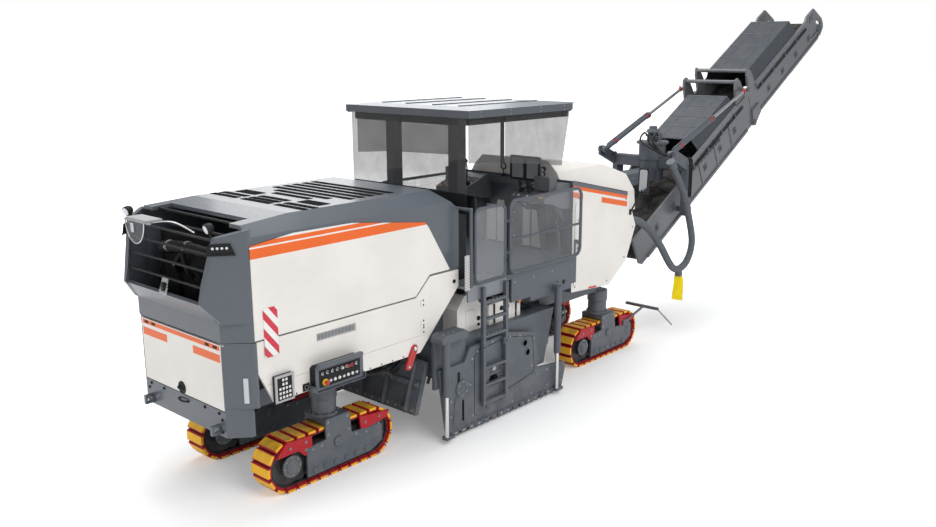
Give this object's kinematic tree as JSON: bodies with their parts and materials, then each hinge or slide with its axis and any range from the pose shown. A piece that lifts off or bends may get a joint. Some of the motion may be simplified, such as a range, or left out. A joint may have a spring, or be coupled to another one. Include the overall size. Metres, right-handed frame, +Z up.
{
  "type": "tracked cold planer with folding loading conveyor",
  "caption": "Tracked road milling machine with rear engine hood, canopied operator platform, milling drum between side plates and a folding front loading conveyor.",
  "frame": {"origin": "centre of the bounding box at ground level, under the tracks", "axes": "+X forward to the conveyor tip, +Y to the machine's left, +Z up"},
  "size_m": [15.1706, 2.506, 5.4454],
  "materials": {
    "dark_paint": "satin",
    "white_paint": "gloss",
    "black_plastic": "matte",
    "glass": "tinted",
    "rubber": "matte",
    "grey_steel": "worn",
    "track_yellow": "polyurethane pads",
    "hazard": "reflective stripes",
    "sleeve": "coated"
  },
  "bodies": {
    "chassis": {"main_frame": "dark_paint", "engine": "black_plastic", "radiator": "black_plastic", "rear_shell": "dark_paint", "side_panels": "white_paint", "drum_housing": "dark_paint", "deck": "dark_paint", "grating": "grey_steel", "side_tanks": "white_paint", "consoles": "black_plastic", "railings": "dark_paint", "canopy_posts": "black_plastic", "canopy_roof": "dark_paint", "canopy_glass": "glass", "front_body": "white_paint", "front_band": "dark_paint", "front_cowl": "white_paint", "slew_boom": "dark_paint", "ladder": "dark_paint", "control_box": "black_plastic", "plate_barrels": "dark_paint", "rear_lamps": "grey_steel", "mirrors": "black_plastic", "hose": "rubber", "drain_sleeve": "sleeve"},
    "tail_flap": {"tail_flap": "white_paint"},
    "hood": {"hood_shell": "dark_paint", "hood_panels": "white_paint", "hood_grille": "black_plastic", "hazard_plates": "hazard"},
    "gate_r": {"gate_r": "dark_paint"},
    "gate_l": {"gate_l": "dark_paint"},
    "drum": {"drum": "grey_steel"},
    "scraper": {"scraper": "dark_paint"},
    "side_plate_r": {"side_plate_r": "dark_paint"},
    "side_plate_l": {"side_plate_l": "dark_paint"},
    "step_r": {"step_r": "dark_paint"},
    "step_l": {"step_l": "dark_paint"},
    "steer_rr": {"truck_rr": "dark_paint", "track_rr": "track_yellow"},
    "steer_rl": {"truck_rl": "dark_paint", "track_rl": "track_yellow"},
    "steer_fr": {"truck_fr": "dark_paint", "track_fr": "track_yellow"},
    "steer_fl": {"truck_fl": "dark_paint", "track_fl": "track_yellow"},
    "slew": {"slew_frame": "dark_paint"},
    "conveyor": {"conveyor_frame": "grey_steel", "conveyor_belt": "rubber", "conveyor_cover": "dark_paint"},
    "tip": {"tip_frame": "grey_steel", "tip_belt": "rubber", "tip_cover": "dark_paint"},
    "lift_barrels": {"lift_barrels": "dark_paint"},
    "lift_rods": {"lift_rods": "grey_steel"}
  },
  "joints": [
    {"name": "hood_tilt", "type": "hinge", "parent": "chassis", "child": "hood", "pos_m": [-4.24, 0, 2.92], "axis": [0, 1, 0], "range_deg": [0, 35]},
    {"name": "tail_flap_hinge", "type": "hinge", "parent": "chassis", "child": "tail_flap", "pos_m": [-7.395, 0, 1.845], "axis": [0, 1, 0], "range_deg": [0, 80]},
    {"name": "drum_spin", "type": "hinge", "parent": "chassis", "child": "drum", "pos_m": [-3.46, 0, 0.62], "axis": [0, 1, 0], "continuous": true},
    {"name": "scraper_lift", "type": "slide", "parent": "chassis", "child": "scraper", "axis": [0, 0, 1], "range_m": [-0.25, 0]},
    {"name": "side_plate_r_lift", "type": "slide", "parent": "chassis", "child": "side_plate_r", "axis": [0, 0, 1], "range_m": [0, 0.35]},
    {"name": "side_plate_l_lift", "type": "slide", "parent": "chassis", "child": "side_plate_l", "axis": [0, 0, 1], "range_m": [0, 0.35]},
    {"name": "step_r_fold", "type": "hinge", "parent": "chassis", "child": "step_r", "pos_m": [-3.765, -1.195, 1.045], "axis": [-1, 0, 0], "range_deg": [0, 90]},
    {"name": "step_l_fold", "type": "hinge", "parent": "chassis", "child": "step_l", "pos_m": [-3.765, 1.195, 1.045], "axis": [1, 0, 0], "range_deg": [0, 90]},
    {"name": "gate_r_hinge", "type": "hinge", "parent": "chassis", "child": "gate_r", "pos_m": [-3.48, -1.2, 2.4], "axis": [0, 0, 1], "range_deg": [0, 90]},
    {"name": "gate_l_hinge", "type": "hinge", "parent": "chassis", "child": "gate_l", "pos_m": [-3.48, 1.2, 2.4], "axis": [0, 0, -1], "range_deg": [0, 90]},
    {"name": "steer_rear_r", "type": "hinge", "parent": "chassis", "child": "steer_rr", "pos_m": [-6.07, -0.64, 0.3], "axis": [0, 0, 1], "range_deg": [-20, 20]},
    {"name": "steer_rear_l", "type": "hinge", "parent": "chassis", "child": "steer_rl", "pos_m": [-6.07, 0.64, 0.3], "axis": [0, 0, 1], "range_deg": [-20, 20]},
    {"name": "steer_front_r", "type": "hinge", "parent": "chassis", "child": "steer_fr", "pos_m": [-0.68, -0.64, 0.3], "axis": [0, 0, 1], "range_deg": [-20, 20]},
    {"name": "steer_front_l", "type": "hinge", "parent": "chassis", "child": "steer_fl", "pos_m": [-0.68, 0.64, 0.3], "axis": [0, 0, 1], "range_deg": [-20, 20]},
    {"name": "conveyor_slew", "type": "hinge", "parent": "chassis", "child": "slew", "pos_m": [1.84, 0, 2.8], "axis": [0, 0, 1], "range_deg": [-60, 60], "deforming": ["hose", "drain_sleeve"]},
    {"name": "conveyor_lift", "type": "hinge", "parent": "slew", "child": "conveyor", "pos_m": [1.84, 0, 1.97993], "axis": [0, -1, 0], "range_deg": [-6, 8]},
    {"name": "conveyor_fold", "type": "hinge", "parent": "conveyor", "child": "tip", "pos_m": [4.56555, 0, 3.29396], "axis": [0, 1, 0], "range_deg": [0, 70]},
    {"name": "lift_barrel_turn", "type": "hinge", "parent": "slew", "child": "lift_barrels", "pos_m": [1.34, 0, 2.96], "axis": [0, -1, 0], "range_deg": [-8, 10]},
    {"name": "lift_rod_slide", "type": "slide", "parent": "lift_barrels", "child": "lift_rods", "axis": [0.9376, 0, 0.3477], "range_m": [-0.16, 0.14]}
  ],
  "couplings": [
    {"joint": "steer_rear_l", "follows": "steer_rear_r", "ratio": 1},
    {"joint": "steer_front_l", "follows": "steer_front_r", "ratio": 1},
    {"joint": "lift_barrel_turn", "follows": "conveyor_lift", "ratio": 0.9616},
    {"joint": "lift_rod_slide", "follows": "conveyor_lift", "m_per_rad": -1.0923}
  ]
}
